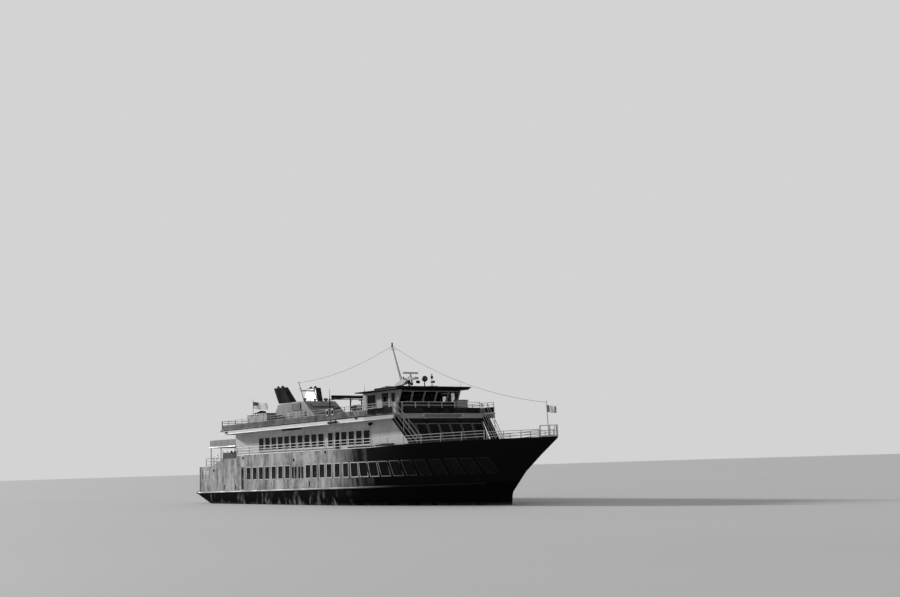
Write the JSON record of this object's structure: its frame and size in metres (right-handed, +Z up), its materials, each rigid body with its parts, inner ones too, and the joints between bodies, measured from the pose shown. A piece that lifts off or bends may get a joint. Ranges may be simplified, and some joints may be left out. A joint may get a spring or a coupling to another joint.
{
  "type": "excursion boat, half-size scale model",
  "caption": "Three-deck excursion boat afloat: steel hull, windowed saloons, pilothouse, raked funnels, working doors, rudders, propellers and radar; half-size scale model.",
  "frame": {"origin": "on the waterline and the centreline, half way along the hull", "axes": "+X towards the bow, +Y to port, +Z up"},
  "size_m": [26.434, 5.26, 8],
  "materials": {
    "hull_black": "matt, scuffed",
    "hull_grey": "satin, streaked",
    "white_paint": "satin, weathered",
    "deck_paint": "rough non-slip",
    "funnel_paint": "satin",
    "canvas": "woven canvas",
    "bronze": "worn cast",
    "steel": "galvanised"
  },
  "bodies": {
    "root": {"hull": "hull_black", "shell_stbd": "hull_grey", "shell_port": "hull_grey", "bow_bulwark": "hull_grey", "stern_coaming": "hull_grey", "saloon_aft_bulkhead": "white_paint", "second_deck": "deck_paint", "upper_wall_stbd": "white_paint", "upper_wall_port": "white_paint", "upper_wall_aft": "white_paint", "upper_wall_front": "white_paint", "third_deck": "white_paint", "pilothouse_wall_stbd": "white_paint", "pilothouse_wall_port": "white_paint", "pilothouse_wall_aft": "white_paint", "pilothouse_wall_front": "white_paint", "pilothouse_roof": "white_paint", "casing": "hull_grey", "funnel_stbd": "funnel_paint", "funnel_port": "funnel_paint", "funnel_frame": "white_paint", "aft_locker": "hull_grey", "front_locker": "hull_grey", "ensign_staff": "white_paint", "stern_shelter": "white_paint", "canopy": "canvas", "mast": "white_paint", "antenna_dome": "white_paint", "horn_post": "white_paint", "stair_stbd": "steel", "stair_port": "steel", "rail_side_stbd": "white_paint", "rail_side_port": "white_paint", "rail_bow_stbd": "white_paint", "rail_bow_port": "white_paint", "rail_third_stbd": "white_paint", "rail_third_port": "white_paint", "rail_third_aft": "white_paint", "rail_third_front": "white_paint", "rail_quarter_stbd": "hull_grey", "rail_quarter_port": "hull_grey", "rail_stern": "white_paint", "bow_pulpit": "white_paint", "jackstaff": "white_paint", "dressing_line_fore": "canvas", "dressing_line_aft": "canvas"},
    "radar_scanner": {"radar_scanner": "white_paint"},
    "boarding_door_aft_stbd": {"boarding_door_aft_stbd": "hull_grey"},
    "boarding_door_fore_stbd": {"boarding_door_fore_stbd": "hull_grey"},
    "side_door_stbd": {"side_door_stbd": "hull_black"},
    "pilothouse_door_stbd": {"pilothouse_door_stbd": "white_paint"},
    "propeller_stbd": {"propeller_stbd": "bronze"},
    "rudder_stbd": {"rudder_stbd": "hull_black"},
    "boarding_door_aft_port": {"boarding_door_aft_port": "hull_grey"},
    "boarding_door_fore_port": {"boarding_door_fore_port": "hull_grey"},
    "side_door_port": {"side_door_port": "hull_black"},
    "pilothouse_door_port": {"pilothouse_door_port": "white_paint"},
    "propeller_port": {"propeller_port": "bronze"},
    "rudder_port": {"rudder_port": "hull_black"}
  },
  "joints": [
    {"name": "radar_turn", "type": "hinge", "parent": "root", "child": "radar_scanner", "pos_m": [3.5, 0, 5.55], "axis": [0, 0, 1], "continuous": true},
    {"name": "boarding_door_aft_stbd_swing", "type": "hinge", "parent": "root", "child": "boarding_door_aft_stbd", "pos_m": [-2.634, -2.59, 1.25], "axis": [0, 0, -1], "range_deg": [0, 90]},
    {"name": "boarding_door_fore_stbd_swing", "type": "hinge", "parent": "root", "child": "boarding_door_fore_stbd", "pos_m": [-1.376, -2.59, 1.25], "axis": [0, 0, 1], "range_deg": [0, 90]},
    {"name": "side_door_stbd_swing", "type": "hinge", "parent": "root", "child": "side_door_stbd", "pos_m": [-7.739, -2.59, 1.25], "axis": [0, 0, -1], "range_deg": [0, 90]},
    {"name": "pilothouse_door_stbd_swing", "type": "hinge", "parent": "root", "child": "pilothouse_door_stbd", "pos_m": [4.069, -1.535, 4.1], "axis": [0, 0, 1], "range_deg": [0, 90]},
    {"name": "propeller_stbd_turn", "type": "hinge", "parent": "root", "child": "propeller_stbd", "pos_m": [-9.75, -1.025, -0.75], "axis": [1, 0, 0], "continuous": true},
    {"name": "rudder_stbd_steer", "type": "hinge", "parent": "root", "child": "rudder_stbd", "pos_m": [-10.35, -1.025, -0.65], "axis": [0, 0, 1], "range_deg": [-35, 35]},
    {"name": "boarding_door_aft_port_swing", "type": "hinge", "parent": "root", "child": "boarding_door_aft_port", "pos_m": [-2.634, 2.59, 1.25], "axis": [0, 0, 1], "range_deg": [0, 90]},
    {"name": "boarding_door_fore_port_swing", "type": "hinge", "parent": "root", "child": "boarding_door_fore_port", "pos_m": [-1.376, 2.59, 1.25], "axis": [0, 0, -1], "range_deg": [0, 90]},
    {"name": "side_door_port_swing", "type": "hinge", "parent": "root", "child": "side_door_port", "pos_m": [-7.739, 2.59, 1.25], "axis": [0, 0, 1], "range_deg": [0, 90]},
    {"name": "pilothouse_door_port_swing", "type": "hinge", "parent": "root", "child": "pilothouse_door_port", "pos_m": [4.069, 1.535, 4.1], "axis": [0, 0, -1], "range_deg": [0, 90]},
    {"name": "propeller_port_turn", "type": "hinge", "parent": "root", "child": "propeller_port", "pos_m": [-9.75, 1.025, -0.75], "axis": [1, 0, 0], "continuous": true},
    {"name": "rudder_port_steer", "type": "hinge", "parent": "root", "child": "rudder_port", "pos_m": [-10.35, 1.025, -0.65], "axis": [0, 0, 1], "range_deg": [-35, 35]}
  ]
}
